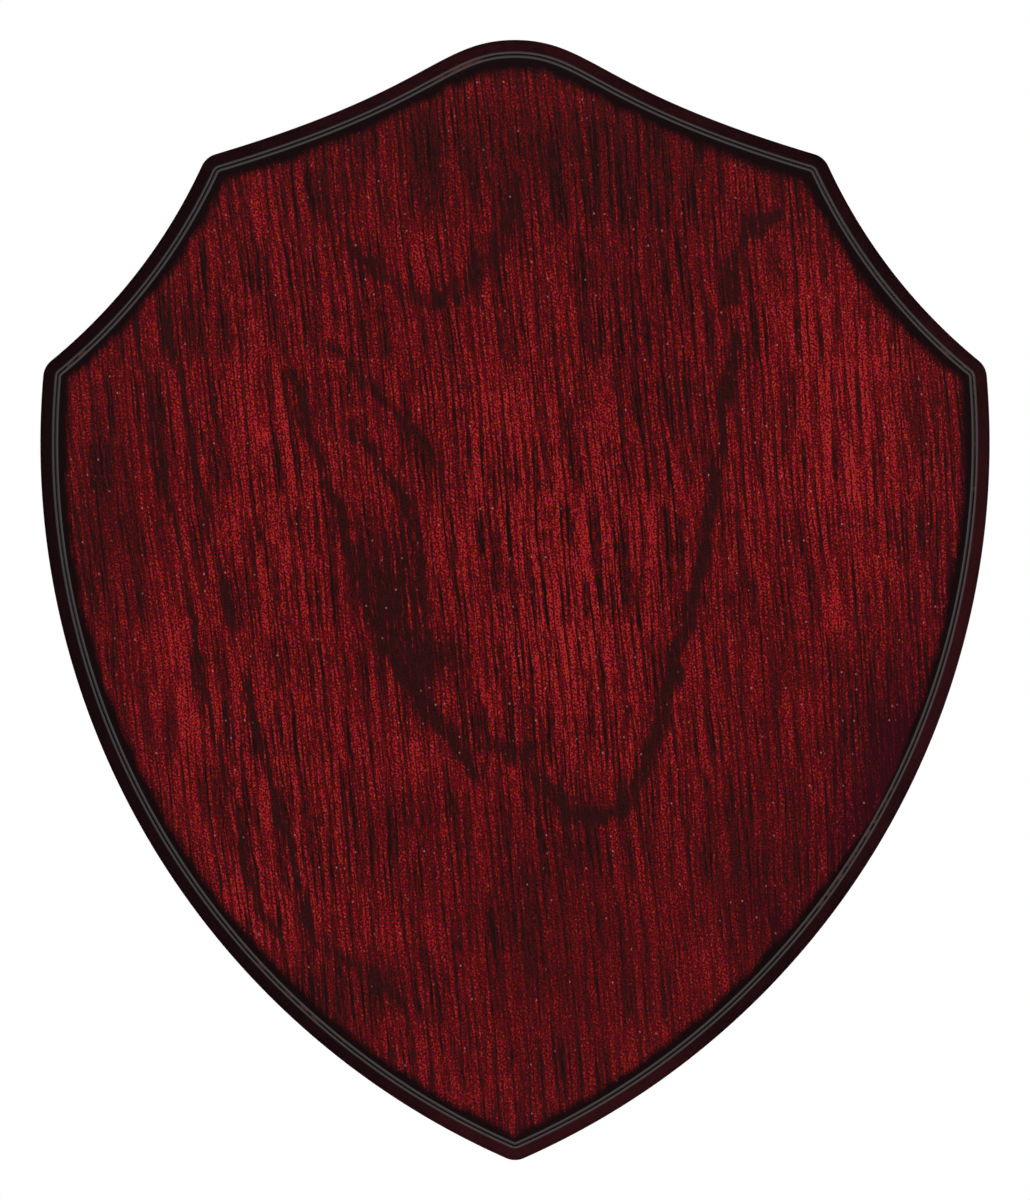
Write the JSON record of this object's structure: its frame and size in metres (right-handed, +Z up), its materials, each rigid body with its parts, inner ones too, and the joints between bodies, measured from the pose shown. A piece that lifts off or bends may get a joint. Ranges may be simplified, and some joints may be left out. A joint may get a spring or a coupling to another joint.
{
  "type": "wooden plaque",
  "caption": "Shield-shaped wall plaque: red rosewood veneer face under clear gloss lacquer, dark moulded edge, steel keyhole hanger and rubber pads on the back.",
  "frame": {"origin": "on the wall plane, on the axis of the wall screw when it sits at the top of the keyhole slot", "axes": "+Z up as hung, +Y into the wall, so the face looks along -Y; +X to the right of someone who looks at the face"},
  "size_m": [0.2152, 0.0184, 0.254],
  "materials": {
    "edge_lacquer": "gloss near-black maroon paint on fibreboard",
    "rosewood_face": "red rosewood veneer under clear gloss lacquer",
    "back_stain": "dark stain, satin",
    "plated_steel": "nickel plated",
    "screw_steel": "yellow zinc plated",
    "pad_rubber": "matt"
  },
  "bodies": {
    "root": {"core_board": "edge_lacquer", "face_veneer": "rosewood_face", "back_veneer": "back_stain", "keyhole_plate": "plated_steel", "hanger_screw_upper": "screw_steel", "hanger_screw_lower": "screw_steel", "wall_pad_left": "pad_rubber", "wall_pad_right": "pad_rubber", "wall_pad_bottom": "pad_rubber"}
  },
  "joints": []
}
